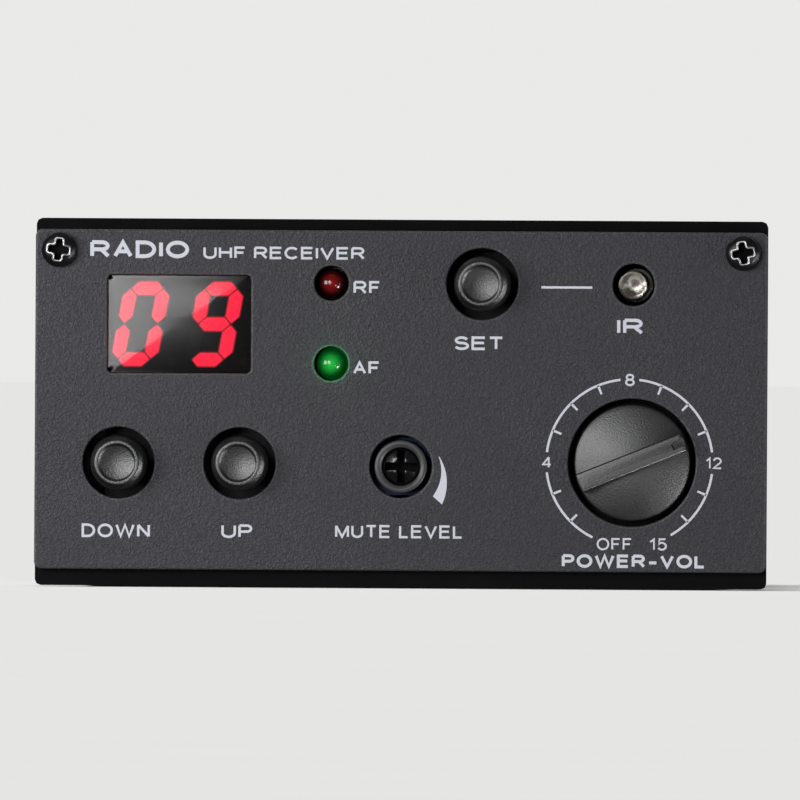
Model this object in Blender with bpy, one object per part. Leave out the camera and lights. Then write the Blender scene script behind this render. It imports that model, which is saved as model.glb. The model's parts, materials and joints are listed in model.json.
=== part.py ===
"""A plug-in UHF receiver unit for a PA amplifier, as it comes apart on a bench.

The front faces -Y, X runs to the right and Z up. The sizes below are in millimetres and MM turns
them into metres. Depths (y) are counted from the front plate's face, towards the back. The empty
called receiver moves everything so that the origin is at the centre of the underside.
"""

import math

import bmesh
import bpy
from mathutils import Vector

MM = 0.001
GAP = 0.3  # air between pieces that touch

# Front plate, and the black front wall of the tray that shows above and below it
PLATE_W, PLATE_H, PLATE_T = 125.0, 58.0, 2.0
PLATE_BOTTOM = 2.8
PLATE_EDGE = 0.8
PLATE_CORNER = 1.2
WALL_H, WALL_T = 62.7, 1.2
WALL_OPENING_HALF_W, WALL_OPENING_Z = 53.3, (5.0, 57.5)
PAD_X, PAD_Z, PAD_H = (57.2, 61.4), (10.0, 50.0), 0.5
MIDDLE_Z = PLATE_BOTTOM + PLATE_H / 2

# Box behind the front wall
SHEET = 1.0
BOX_W = 109.0
BOX_TOP = 60.0
BOX_BACK = 107.3
WALL_FRONT = PLATE_T + GAP
WALL_BACK = WALL_FRONT + WALL_T
TRAY_W = BOX_W - 2 * (SHEET + GAP)
TRAY_T = 1.2
LIP_H = 9.0
REAR_FRONT = BOX_BACK - TRAY_T
REAR_TOP = 58.4
COVER_BOTTOM = 0.5
COVER_BEND = 2.0
VENTS, VENT_PITCH, VENT_Y, VENT_SIZE = 8, 9.0, 78.0, (2.4, 26.0)

# Boards
BOARD_T = 1.6
CONTROL_FRONT = 15.0
CONTROL_BACK = CONTROL_FRONT + BOARD_T
CONTROL_SIZE = (103.0, 51.0)
MAIN_BOTTOM = 6.8
MAIN_TOP = MAIN_BOTTOM + BOARD_T
MAIN_HALF_W, MAIN_Y = 50.0, (22.0, 104.0)
ON_CONTROL = CONTROL_FRONT - GAP
ON_MAIN = MAIN_TOP + GAP

# Controls, as (x, z) from the middle of the front plate
PANEL_SCREWS = {"left": (-58.45, 25.5), "right": (58.45, 25.5)}
PANEL_SCREW_TURN = {"left": -7.0, "right": 9.0}
WINDOW_AT, WINDOW_SIZE, WINDOW_CORNER = (-37.9, 12.9), (24.6, 16.7), 0.8
LEDS = {"rf": (-11.9, 20.0), "af": (-11.9, 6.3), "ir": (39.7, 20.0)}
LED_HOLES = {"rf": 2.95, "af": 2.95, "ir": 3.6}
BUTTONS = {"set": (13.9, 20.0), "down": (-48.1, -10.8), "up": (-27.4, -10.8)}
BUTTON_HOLE = 6.1
MUTE_AT, MUTE_HOLE = (0.1, -11.2), 5.35
VOLUME_AT, VOLUME_HOLE = (39.6, -10.3), 10.9
POINTER_ANGLE = 22.0

# Small parts
BUTTON_PROUD = 4.0
LED_R, LED_FLANGE_R = 2.5, 2.9
SCREW_R, SCREW_HOLE_R = 1.45, 1.7
PANEL_HEAD_R, SMALL_HEAD_R = 3.05, 2.75
BOSS_R = 3.0
CONTROL_BOSSES = [(-20.5, 21.5), (-46.0, -22.5), (46.5, -23.2), (47.0, 21.0)]
MAIN_BOSSES = [(-44.0, 30.0), (44.0, 30.0), (-44.0, 98.0), (44.0, 98.0)]
COVER_SCREWS_Y, COVER_SCREWS_Z = (20.0, 95.0), 5.0
SOCKET_AT, SOCKET_R, SOCKET_END = (-34.0, 40.0), 3.15, 117.0
HEADER_X, HEADER_HALF_W, HEADER_H = 20.0, 10.8, 6.4

# Sides of a round piece
FINE, ROUND, COARSE = 36, 20, 12


def clear_scene():
    for obj in list(bpy.data.objects):
        bpy.data.objects.remove(obj, do_unlink=True)


def material(name, colour, roughness, metallic=0.0):
    made = bpy.data.materials.new(name)
    made.use_nodes = True
    shader = made.node_tree.nodes["Principled BSDF"]
    shader.inputs["Base Color"].default_value = (*colour, 1.0)
    shader.inputs["Roughness"].default_value = roughness
    shader.inputs["Metallic"].default_value = metallic
    return made


# Outlines: closed loops of points at one depth along an axis, with (u, v) across it


def on_axis(axis, depth, u, v):
    return {"x": (depth, u, v), "y": (u, depth, v), "z": (u, v, depth)}[axis]


def circle(radius, depth, sides=ROUND, centre=(0.0, 0.0), axis="y"):
    points = []
    for i in range(sides):
        angle = 2 * math.pi * i / sides
        u = centre[0] + radius * math.cos(angle)
        v = centre[1] + radius * math.sin(angle)
        points.append(on_axis(axis, depth, u, v))
    return points


def rounded(width, height, corner, depth, steps=3, centre=(0.0, 0.0), axis="y"):
    """A rectangle with round corners."""
    points = []
    for quarter in range(4):
        side_u = (1, -1, -1, 1)[quarter]
        side_v = (1, 1, -1, -1)[quarter]
        for i in range(steps + 1):
            angle = math.pi / 2 * (quarter + i / steps)
            u = centre[0] + side_u * (width / 2 - corner) + corner * math.cos(angle)
            v = centre[1] + side_v * (height / 2 - corner) + corner * math.sin(angle)
            points.append(on_axis(axis, depth, u, v))
    return points


def rectangle(x, z, y):
    return [(x[0], y, z[0]), (x[1], y, z[0]), (x[1], y, z[1]), (x[0], y, z[1])]


def cross(arm, width, y):
    """The outline of a driver's cross, its arms that long from the centre."""
    half = width / 2
    points = []
    for turn in range(4):
        for x, z in ((arm, -half), (arm, half), (half, half)):
            for _ in range(turn):
                x, z = -z, x
            points.append((x, y, z))
    return points


# Solids from outlines


def solid(name, loops, closed=False):
    """Joins each outline to the next. The ends are capped, or joined to each other in a ring."""
    mesh = bmesh.new()
    rows = [[mesh.verts.new(Vector(p) * MM) for p in loop] for loop in loops]
    pairs = list(zip(rows, rows[1:]))
    if closed:
        pairs.append((rows[-1], rows[0]))
    else:
        mesh.faces.new(rows[0])
        mesh.faces.new(rows[-1])
    for low, high in pairs:
        for i, corner in enumerate(low):
            j = (i + 1) % len(low)
            mesh.faces.new((corner, low[j], high[j], high[i]))
    bmesh.ops.recalc_face_normals(mesh, faces=mesh.faces)
    data = bpy.data.meshes.new(name)
    mesh.to_mesh(data)
    mesh.free()
    data.shade_smooth()
    data.set_sharp_from_angle(angle=math.radians(35))
    obj = bpy.data.objects.new(name, data)
    bpy.context.scene.collection.objects.link(obj)
    return obj


def block(name, x, y, z):
    """A box between pairs of limits."""
    return solid(name, [rectangle(x, z, y[0]), rectangle(x, z, y[1])])


def cylinder(name, radius, start, end, sides=ROUND, centre=(0.0, 0.0), axis="y"):
    loops = [circle(radius, depth, sides, centre, axis) for depth in (start, end)]
    return solid(name, loops)


def turned(name, profile, sides=ROUND, axis="y"):
    """A turned piece, capped at both ends. The profile is (depth, radius)."""
    return solid(name, [circle(radius, depth, sides, axis=axis) for depth, radius in profile])


def tube(name, outer, inner, start, end, sides=ROUND, centre=(0.0, 0.0), axis="y"):
    profile = ((outer, start), (outer, end), (inner, end), (inner, start))
    loops = [circle(radius, depth, sides, centre, axis) for radius, depth in profile]
    return solid(name, loops, closed=True)


def combine(obj, operation, tools):
    for tool in tools:
        step = obj.modifiers.new(tool.name, "BOOLEAN")
        step.operation = operation
        step.solver = "EXACT"
        step.object = tool
        tool.hide_render = True
        tool.display_type = "WIRE"


def cut(obj, *tools):
    combine(obj, "DIFFERENCE", tools)


def add(obj, *tools):
    combine(obj, "UNION", tools)


def finish(obj, root, look, at=(0.0, 0.0, 0.0), turn=(0.0, 0.0, 0.0)):
    """Puts a piece, with its Boolean tools, at a point in millimetres, turned in degrees."""
    obj.data.materials.append(look)
    for piece in [obj] + [step.object for step in obj.modifiers]:
        piece.parent = root
        piece.location = Vector(at) * MM
        piece.rotation_euler = [math.radians(angle) for angle in turn]


def on_plate(point):
    return (point[0], 0.0, MIDDLE_Z + point[1])


# Casing


def front_plate(root, look):
    """The plate with a rounded front edge, its holes, and the posts for the control board."""
    loops = [rounded(PLATE_W, PLATE_H, PLATE_CORNER, PLATE_T)]
    steps = 3
    for i in range(steps + 1):
        angle = math.pi / 2 * i / steps
        inset = PLATE_EDGE * (1 - math.cos(angle))
        depth = PLATE_EDGE * (1 - math.sin(angle))
        size = PLATE_W - 2 * inset, PLATE_H - 2 * inset
        loops.append(rounded(*size, PLATE_CORNER - inset, depth))
    plate = solid("front_plate", loops)
    for i, at in enumerate(CONTROL_BOSSES):
        add(plate, cylinder(f"plate_boss_{i}", BOSS_R, PLATE_T / 2, ON_CONTROL, COARSE, at))
    through = (-1.0, PLATE_T + 1.0)
    window = [rounded(*WINDOW_SIZE, WINDOW_CORNER, y, centre=WINDOW_AT) for y in through]
    cut(plate, solid("window_hole", window))
    holes = [(LEDS[name], LED_HOLES[name], ROUND) for name in LEDS]
    holes += [(at, BUTTON_HOLE, ROUND) for at in BUTTONS.values()]
    holes += [(at, SCREW_HOLE_R, COARSE) for at in PANEL_SCREWS.values()]
    holes += [(MUTE_AT, MUTE_HOLE, ROUND), (VOLUME_AT, VOLUME_HOLE, FINE)]
    for i, (at, radius, sides) in enumerate(holes):
        cut(plate, cylinder(f"plate_hole_{i}", radius, *through, sides, at))
    bore = (ON_CONTROL - 8.5, ON_CONTROL + 1.0)
    for i, at in enumerate(CONTROL_BOSSES):
        cut(plate, cylinder(f"plate_bore_{i}", SCREW_HOLE_R, *bore, COARSE, at))
    finish(plate, root, look, (0.0, 0.0, MIDDLE_Z))


def chassis_tray(root, look):
    """Front wall with a raised pad behind each ear, floor, rear wall and two low side lips."""
    half = TRAY_W / 2
    middle = (0.0, WALL_H / 2)
    wall = [rounded(PLATE_W, WALL_H, 1.0, y, 2, middle) for y in (WALL_FRONT, WALL_BACK)]
    tray = solid("chassis_tray", wall)
    side = (-WALL_OPENING_HALF_W, WALL_OPENING_HALF_W)
    cut(tray, block("wall_opening", side, (0.0, 6.0), WALL_OPENING_Z))
    for name, sign in (("left", -1), ("right", 1)):
        pad_x = sorted(sign * x for x in PAD_X)
        add(tray, block(f"tray_pad_{name}", pad_x, (WALL_FRONT + 0.6, WALL_BACK + PAD_H), PAD_Z))
    sunk = TRAY_T / 2
    floor_y = (WALL_BACK - sunk, BOX_BACK)
    add(tray, block("tray_floor", (-half, half), floor_y, (0.0, TRAY_T)))
    add(tray, block("tray_rear", (-half, half), (REAR_FRONT, BOX_BACK), (sunk, REAR_TOP)))
    lip_y = (WALL_BACK + 0.6, REAR_FRONT + sunk)
    for name, lip in (("left", (-half, TRAY_T - half)), ("right", (half - TRAY_T, half))):
        add(tray, block(f"tray_lip_{name}", lip, lip_y, (sunk, LIP_H)))
    boss = (BOSS_R, SCREW_HOLE_R, sunk, MAIN_BOTTOM - GAP, COARSE)
    for i, at in enumerate(MAIN_BOSSES):
        add(tray, tube(f"tray_boss_{i}", *boss, centre=at, axis="z"))
    for name, (x, z) in PANEL_SCREWS.items():
        at = (x, z + MIDDLE_Z)
        cut(tray, cylinder(f"wall_hole_{name}", SCREW_HOLE_R, 0.0, 6.0, COARSE, at))
    for i, y in enumerate(COVER_SCREWS_Y):
        at = (y, COVER_SCREWS_Z)
        across = (SCREW_HOLE_R, -half - 1.0, half + 1.0, COARSE, at, "x")
        cut(tray, cylinder(f"lip_hole_{i}", *across))
    rear = (REAR_FRONT - 1.0, BOX_BACK + 1.0)
    cut(tray, cylinder("socket_hole", SOCKET_R + GAP, *rear, ROUND, SOCKET_AT))
    header = (HEADER_X - HEADER_HALF_W - 0.5, HEADER_X + HEADER_HALF_W + 0.5)
    cut(tray, block("header_hole", header, rear, (ON_MAIN - 0.5, ON_MAIN + HEADER_H + 0.5)))
    finish(tray, root, look)


def bent_corner(radius, sign):
    """The points round one top corner of the cover, for its outer or its inner face."""
    centre_x, centre_z = BOX_W / 2 - COVER_BEND, BOX_TOP - COVER_BEND
    angles = [math.pi / 2 * i / 3 for i in range(4)]
    arc = [(centre_x + radius * math.cos(a), centre_z + radius * math.sin(a)) for a in angles]
    return [(sign * x, z) for x, z in arc[::sign]]


def top_cover(root, look):
    """A sheet bent over the top and both sides, as one outline drawn out along Y."""
    outline = []
    for half, radius, order in (
        (BOX_W / 2, COVER_BEND, 1),
        (BOX_W / 2 - SHEET, COVER_BEND - SHEET, -1),
    ):
        face = [(half, COVER_BOTTOM)] + bent_corner(radius, 1)
        face += bent_corner(radius, -1) + [(-half, COVER_BOTTOM)]
        outline += face[::order]
    ends = (WALL_BACK + GAP, BOX_BACK)
    cover = solid("top_cover", [[(x, y, z) for x, z in outline] for y in ends])
    heights = (BOX_TOP - SHEET - 1.0, BOX_TOP + 1.0)
    for i in range(VENTS):
        at = ((i - (VENTS - 1) / 2) * VENT_PITCH, VENT_Y)
        corner = VENT_SIZE[0] / 2 - 0.01
        slot = [rounded(*VENT_SIZE, corner, z, 2, at, "z") for z in heights]
        cut(cover, solid(f"vent_{i}", slot))
    reach = BOX_W / 2 + 1.0
    for i, y in enumerate(COVER_SCREWS_Y):
        across = (SCREW_HOLE_R, -reach, reach, COARSE, (y, COVER_SCREWS_Z), "x")
        cut(cover, cylinder(f"cover_hole_{i}", *across))
    finish(cover, root, look)


# Fasteners


def screw(name, head_r, head_h, length, sides=COARSE):
    """A pan-head cross-recess screw that points along +Y, with its seat at y = 0."""
    profile = [(-head_h, head_r * 0.6), (-head_h * 0.75, head_r * 0.88), (-head_h * 0.35, head_r)]
    profile += [(0.0, head_r), (0.0, SCREW_R), (length, SCREW_R * 0.8)]
    made = turned(name, profile, sides)
    recess = [cross(head_r * 0.62, 0.9, -head_h - 1.0), cross(head_r * 0.4, 0.7, -head_h * 0.4)]
    cut(made, solid(name + "_recess", recess))
    return made


def screws(root, look):
    for name, (x, z) in PANEL_SCREWS.items():
        made = screw(f"panel_screw_{name}", PANEL_HEAD_R, 2.1, 11.0, ROUND)
        finish(made, root, look, (x, -0.1, MIDDLE_Z + z), (0.0, PANEL_SCREW_TURN[name], 0.0))
    for i, (x, z) in enumerate(CONTROL_BOSSES):
        made = screw(f"control_board_screw_{i + 1}", SMALL_HEAD_R, 2.0, 7.5)
        finish(made, root, look, (x, CONTROL_BACK + GAP, MIDDLE_Z + z), (0.0, 0.0, 180.0))
    for i, (x, y) in enumerate(MAIN_BOSSES):
        made = screw(f"main_board_screw_{i + 1}", SMALL_HEAD_R, 2.0, 5.5)
        finish(made, root, look, (x, y, MAIN_TOP + GAP), (-90.0, 0.0, 0.0))
    places = [(side, y) for side in (-1, 1) for y in COVER_SCREWS_Y]
    for i, (side, y) in enumerate(places):
        made = screw(f"cover_screw_{i + 1}", SMALL_HEAD_R, 1.6, 4.0)
        at = (side * (BOX_W / 2 + GAP / 2), y, COVER_SCREWS_Z)
        finish(made, root, look, at, (0.0, 0.0, side * 90.0))


# Display


def display(root, glass, plastic):
    """The window with a lip behind the plate, the two-digit module, and the socket it plugs into."""
    width, height = WINDOW_SIZE[0] - 0.4, WINDOW_SIZE[1] - 0.4
    lip = 1.8
    loops = [rounded(width, height, 0.6, y) for y in (0.35, WALL_FRONT)]
    lip_y = (WALL_FRONT, WALL_FRONT + 0.5)
    loops += [rounded(width + lip, height + lip, 0.8, y) for y in lip_y]
    finish(solid("display_window", loops), root, glass, on_plate(WINDOW_AT))
    module = [rounded(25.0, 19.0, 0.4, y, 1) for y in (3.1, 11.1)]
    finish(solid("display_module", module), root, plastic, on_plate(WINDOW_AT))
    socket = block("display_socket", (-12.6, 12.6), (11.4, ON_CONTROL), (-7.6, 7.6))
    finish(socket, root, plastic, on_plate(WINDOW_AT))


# Lamps


def led(name, root, look, at):
    tip, collar, foot = 0.2, 7.8, 8.8
    steps = 4
    profile = []
    for i in range(1, steps + 1):
        angle = math.pi / 2 * i / steps
        profile.append((tip + LED_R * (1 - math.cos(angle)), LED_R * math.sin(angle)))
    profile += [(collar, LED_R), (collar, LED_FLANGE_R), (foot, LED_FLANGE_R)]
    lens = turned(name, profile)
    wire = 0.25
    for side in (-1.27, 1.27):
        x = (side - wire, side + wire)
        add(lens, block(f"{name}_lead", x, (foot - 1.0, ON_CONTROL), (-wire, wire)))
    finish(lens, root, look, at)


def lamps(root, looks, spacer_look):
    for name, at in LEDS.items():
        led(f"{name}_led", root, looks[name], on_plate(at))
        spacer = tube(f"{name}_led_spacer", LED_FLANGE_R, 2.0, 9.1, ON_CONTROL, COARSE)
        finish(spacer, root, spacer_look, on_plate(at))


# Push buttons


def button_cap(name):
    """A cap with a dished top and a sloping shoulder, on a stem with a socket for the plunger."""
    front = -BUTTON_PROUD
    top = [(2.2, front + 0.35), (3.3, front), (3.6, front + 0.2), (4.6, front + 1.7)]
    stem = [(4.8, 3.2), (3.0, 3.2), (3.0, 9.5), (2.0, 9.5), (2.0, 6.0)]
    return solid(name, [circle(radius, y) for radius, y in top + stem])


def buttons(root, cap_look, plunger_look, switch_look):
    for name, at in BUTTONS.items():
        finish(button_cap(f"{name}_button_cap"), root, cap_look, on_plate(at))
        plunger = cylinder(f"{name}_switch_plunger", 1.7, 6.4, 12.4, COARSE)
        finish(plunger, root, plunger_look, on_plate(at))
        base = block(f"{name}_switch", (-3.0, 3.0), (11.2, ON_CONTROL), (-3.0, 3.0))
        cut(base, cylinder(f"{name}_switch_bore", 2.1, 10.0, 13.4, COARSE))
        finish(base, root, switch_look, on_plate(at))


# Mute level control


def mute_control(root, body_look, sleeve_look, rotor_look):
    """A small rotary control, a fixed sleeve round it, and a rotor with a driver's cross."""
    body = block("mute_pot", (-5.0, 5.0), (9.7, ON_CONTROL), (-5.0, 5.0))
    cut(body, cylinder("mute_pot_bore", 1.9, 8.0, 12.0, COARSE))
    finish(body, root, body_look, on_plate(MUTE_AT))
    finish(tube("mute_sleeve", 4.5, 3.6, 0.5, 9.4), root, sleeve_look, on_plate(MUTE_AT))
    profile = [(1.5, 2.8), (1.95, 3.3), (9.1, 3.3), (9.1, 1.5), (11.3, 1.5)]
    rotor = turned("mute_rotor", profile)
    cut(rotor, solid("mute_slots", [cross(2.75, 1.1, 0.0), cross(2.4, 0.9, 3.1)]))
    finish(rotor, root, rotor_look, on_plate(MUTE_AT))


# Volume control with its off switch


def volume_knob(root, look):
    """A domed disc with a grip bar across it, and a skirt and a hub behind."""
    radius, rim_y, crown = 10.05, 1.15, 1.75
    reach = radius - 0.35
    loops = []
    steps = 3
    for i in range(1, steps + 1):
        r = reach * i / steps
        loops.append(circle(r, rim_y - crown * (1 - (r / radius) ** 2), FINE))
    skirt = ((radius, rim_y + 0.4), (radius, 4.9), (8.7, 4.9), (8.7, 2.7))
    hub = ((5.0, 2.7), (5.0, 4.9), (3.15, 4.9), (3.15, 2.35))
    loops += [circle(r, y, FINE) for r, y in skirt + hub]
    knob = solid("volume_knob", loops)
    half = 1.65
    spread = math.asin(half / reach)
    angles = [spread * (i / 2 - 1) for i in range(5)]
    end = [(reach * math.cos(a), reach * math.sin(a)) for a in angles]
    outline = end + [(-x, -z) for x, z in end]
    bar = [[(x, y, z) for x, z in outline] for y in (-2.2, rim_y + 0.3)]
    add(knob, solid("knob_bar", bar))
    cut(knob, block("knob_notch", (reach - 2.1, reach + 2.0), (-3.0, -1.8), (-0.8, 0.8)))
    finish(knob, root, look, on_plate(VOLUME_AT), (0.0, -POINTER_ANGLE, 0.0))


def volume_control(root, knob_look, metal, case):
    volume_knob(root, knob_look)
    shaft = turned("volume_shaft", [(2.65, 2.6), (2.95, 2.95), (9.7, 2.95)])
    cut(shaft, block("shaft_flat", (-4.0, 4.0), (0.0, 5.0), (1.6, 5.0)))
    finish(shaft, root, metal, on_plate(VOLUME_AT), (0.0, -POINTER_ANGLE, 0.0))
    outside = ((3.25, 5.4), (3.9, 5.4), (3.9, 8.0), (8.25, 8.0), (8.25, ON_CONTROL))
    inside = ((2.0, ON_CONTROL), (2.0, 10.2), (3.25, 10.2))
    loops = [circle(r, y) for r, y in outside + inside]
    finish(solid("volume_pot", loops, closed=True), root, case, on_plate(VOLUME_AT))


# Boards and what stands on them


def boards(root, front_look, look):
    half_w, half_h = CONTROL_SIZE[0] / 2, CONTROL_SIZE[1] / 2
    limits = (-half_w, half_w), (CONTROL_FRONT, CONTROL_BACK), (-half_h, half_h)
    control = block("control_board", *limits)
    for i, at in enumerate(CONTROL_BOSSES):
        cut(control, cylinder(f"control_hole_{i}", SCREW_HOLE_R, 14.0, 18.0, COARSE, at))
    finish(control, root, front_look, (0.0, 0.0, MIDDLE_Z))
    limits = (-MAIN_HALF_W, MAIN_HALF_W), MAIN_Y, (MAIN_BOTTOM, MAIN_TOP)
    main = block("main_board", *limits)
    for i, at in enumerate(MAIN_BOSSES):
        cut(main, cylinder(f"main_hole_{i}", SCREW_HOLE_R, 5.0, 10.0, COARSE, at, "z"))
    finish(main, root, look)


def shield_can(root, look):
    """A tin frame round the tuner, with a lid that slips over it."""
    centre, width, depth, height = (-22.0, 62.0), 46.0, 34.0, 11.0
    wall, lid_wall, lid_drop = 0.8, 0.6, 2.5
    top = ON_MAIN + height

    def loop(margin, z):
        size = width + 2 * margin, depth + 2 * margin
        return rounded(*size, 1.5 + margin, z, 2, centre, "z")

    frame = [loop(0.0, ON_MAIN), loop(0.0, top), loop(-wall, top), loop(-wall, ON_MAIN)]
    finish(solid("rf_shield_frame", frame, closed=True), root, look)
    outer = GAP + lid_wall
    lid = [loop(GAP, top + GAP), loop(GAP, top - lid_drop), loop(outer, top - lid_drop)]
    lid.append(loop(outer, top + GAP + lid_wall))
    finish(solid("rf_shield_lid", lid), root, look)


def main_parts(root, chip, can, capacitor, metal):
    for name, (x, y), (w, d, h) in (
        ("controller_chip", (26.0, 84.0), (10.0, 10.0, 1.6)),
        ("compander_chip", (22.0, 60.0), (19.0, 6.4, 3.4)),
    ):
        limits = (x - w / 2, x + w / 2), (y - d / 2, y + d / 2), (ON_MAIN, ON_MAIN + h)
        finish(block(name, *limits), root, chip)
    crystal = [
        rounded(11.0, 4.6, 2.25, z, 3, (8.0, 88.0), "z") for z in (ON_MAIN, ON_MAIN + 3.6)
    ]
    finish(solid("crystal", crystal), root, can)
    for i, (x, y, r, h) in enumerate(
        ((40.0, 46.0, 5.0, 16.0), (40.0, 60.0, 4.0, 12.0), (40.0, 72.0, 4.0, 12.0))
    ):
        profile = [(0.0, r), (1.6, r), (2.0, r - 0.4), (2.4, r), (h - 0.4, r), (h, r - 0.5)]
        piece = turned(f"filter_capacitor_{i + 1}", profile, axis="z")
        finish(piece, root, capacitor, (x, y, ON_MAIN))
    body = block("regulator", (-5.0, 5.0), (0.0, 4.5), (0.0, 9.0))
    add(body, block("regulator_tab", (-5.0, 5.0), (3.2, 4.49), (8.0, 15.5)))
    cut(body, cylinder("regulator_hole", 1.8, 0.0, 8.0, COARSE, (0.0, 12.8)))
    finish(body, root, metal, (20.0, 40.0, ON_MAIN))


# Inner leads and connectors


def ribbon(root, cable, housing):
    """Two connector housings and the flat cable that bends down from one to the other."""
    middle_z, main_y, size, half_w = 21.0, 37.0, 6.0, 10.0
    x = (-half_w, half_w)
    back = CONTROL_BACK + GAP
    plug_back, plug_top = back + size, ON_MAIN + size
    z = (middle_z - size / 2, middle_z + size / 2)
    finish(block("control_connector", x, (back, plug_back), z), root, housing)
    y = (main_y - size / 2, main_y + size / 2)
    finish(block("main_connector", x, y, (ON_MAIN, plug_top)), root, housing)
    half, thick = half_w - 2.0, 0.45
    radius = middle_z - plug_top - GAP
    band = (middle_z - thick, middle_z + thick)
    loops = [rectangle((-half, half), band, plug_back + GAP)]
    steps = 6
    for i in range(steps + 1):
        angle = math.pi / 2 * i / steps
        loop = []
        for px, side in ((-half, -1), (half, -1), (half, 1), (-half, 1)):
            r = radius + side * thick
            y = main_y - radius + r * math.sin(angle)
            loop.append((px, y, plug_top + GAP + r * math.cos(angle)))
        loops.append(loop)
    finish(solid("ribbon_cable", loops), root, cable)


def antenna_lead(root, look, start, end):
    """The thin screened lead from the antenna socket down to the board, on one smooth curve."""
    line = bpy.data.curves.new("antenna_lead", "CURVE")
    line.dimensions = "3D"
    line.bevel_depth = 0.9 * MM
    line.bevel_resolution = 2
    line.use_fill_caps = True
    spline = line.splines.new("POLY")
    count = 15
    spline.points.add(count - 1)
    bends = [start, start + Vector((0, -14, 0)), end + Vector((0, 0, 20)), end]
    for i in range(count):
        t = i / (count - 1)
        weights = ((1 - t) ** 3, 3 * t * (1 - t) ** 2, 3 * t * t * (1 - t), t**3)
        point = sum((w * p for w, p in zip(weights, bends)), Vector())
        spline.points[i].co = (*(point * MM), 1.0)
    lead = bpy.data.objects.new("antenna_lead", line)
    bpy.context.scene.collection.objects.link(lead)
    finish(lead, root, look)


def antenna(root, gold, nickel, cable):
    x, z = SOCKET_AT
    seat = REAR_FRONT - GAP
    flange = 2.5
    profile = [(seat - flange, 4.4), (seat, 4.4), (seat, SOCKET_R)]
    profile += [(SOCKET_END - 0.4, SOCKET_R), (SOCKET_END, SOCKET_R - 0.4)]
    profile += [(SOCKET_END, 2.3), (SOCKET_END - 0.8, 2.3)]
    profile += [(SOCKET_END - 0.8, 0.65), (SOCKET_END - 4.0, 0.65)]
    finish(turned("antenna_socket", profile), root, gold, (x, 0.0, z))
    nut_y = (BOX_BACK + GAP, BOX_BACK + GAP + 2.3)
    nut = solid("antenna_nut", [circle(4.9, y, 6) for y in nut_y])
    cut(nut, cylinder("antenna_nut_bore", SOCKET_R + 0.25, nut_y[0] - 1, nut_y[1] + 1))
    finish(nut, root, nickel, (x, 0.0, z))
    start = Vector((x, seat - flange - GAP, z))
    antenna_lead(root, cable, start, Vector((-30.0, 84.0, ON_MAIN)))


def output_header(root, look):
    """The row of pins at the back that takes the host amplifier's plug, with its lock wall."""
    x = (HEADER_X - HEADER_HALF_W, HEADER_X + HEADER_HALF_W)
    header = block("output_header", x, (99.0, 105.0), (ON_MAIN, ON_MAIN + HEADER_H))
    lock = ((x[0] + 3, x[1] - 3), (104.0, 111.0), (ON_MAIN + 0.05, ON_MAIN + 1.2))
    add(header, block("header_lock", *lock))
    pins, pitch, half = 8, 2.54, 0.32
    middle = ON_MAIN + HEADER_H - 2.2
    for i in range(pins):
        at = HEADER_X + (i - (pins - 1) / 2) * pitch
        limits = (at - half, at + half), (104.0, 113.0), (middle - half, middle + half)
        add(header, block(f"header_pin_{i}", *limits))
    finish(header, root, look)


def build():
    clear_scene()
    root = bpy.data.objects.new("receiver", None)
    bpy.context.scene.collection.objects.link(root)
    root.location = Vector((0.0, (BUTTON_PROUD - SOCKET_END) / 2, 0.0)) * MM

    coat = material("plate_coat", (0.062, 0.06, 0.066), 0.55)
    black_steel = material("black_steel", (0.012, 0.012, 0.013), 0.5)
    zinc = material("zinc", (0.62, 0.62, 0.60), 0.35, 1.0)
    screw_black = material("screw_black", (0.02, 0.02, 0.022), 0.3, 0.6)
    nickel = material("nickel", (0.66, 0.65, 0.62), 0.25, 1.0)
    gold = material("gold", (0.83, 0.62, 0.27), 0.25, 1.0)
    black_plastic = material("black_plastic", (0.015, 0.015, 0.016), 0.4)
    gloss_black = material("gloss_black", (0.008, 0.008, 0.009), 0.12)
    window = material("smoked_window", (0.01, 0.006, 0.007), 0.08)
    ivory = material("ivory", (0.7, 0.66, 0.55), 0.5)
    collar = material("grey_collar", (0.1, 0.1, 0.1), 0.45)
    pot_blue = material("pot_blue", (0.03, 0.09, 0.3), 0.4)
    sleeve_blue = material("capacitor_sleeve", (0.02, 0.03, 0.09), 0.35)
    board = material("board", (0.03, 0.16, 0.07), 0.4)
    black_board = material("black_board", (0.01, 0.01, 0.011), 0.5)
    ribbon_grey = material("ribbon_grey", (0.35, 0.35, 0.36), 0.6)
    nylon = material("white_nylon", (0.8, 0.78, 0.7), 0.5)
    lamp_looks = {
        "rf": material("red_lens", (0.35, 0.01, 0.01), 0.1),
        "af": material("green_lens", (0.02, 0.55, 0.08), 0.1),
        "ir": material("clear_lens", (0.85, 0.82, 0.78), 0.08),
    }

    front_plate(root, coat)
    chassis_tray(root, black_steel)
    top_cover(root, zinc)
    screws(root, screw_black)
    display(root, window, black_plastic)
    lamps(root, lamp_looks, black_plastic)
    buttons(root, black_plastic, ivory, gloss_black)
    mute_control(root, pot_blue, collar, gloss_black)
    volume_control(root, black_plastic, nickel, zinc)
    boards(root, black_board, board)
    shield_can(root, nickel)
    main_parts(root, gloss_black, nickel, sleeve_blue, nickel)
    ribbon(root, ribbon_grey, nylon)
    antenna(root, gold, nickel, black_plastic)
    output_header(root, nylon)


build()
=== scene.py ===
"""The look of the wireless receiver unit: fine pieces, finishes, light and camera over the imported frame."""
import json
import math

import bmesh
import bpy
from mathutils import Matrix, Vector


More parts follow.
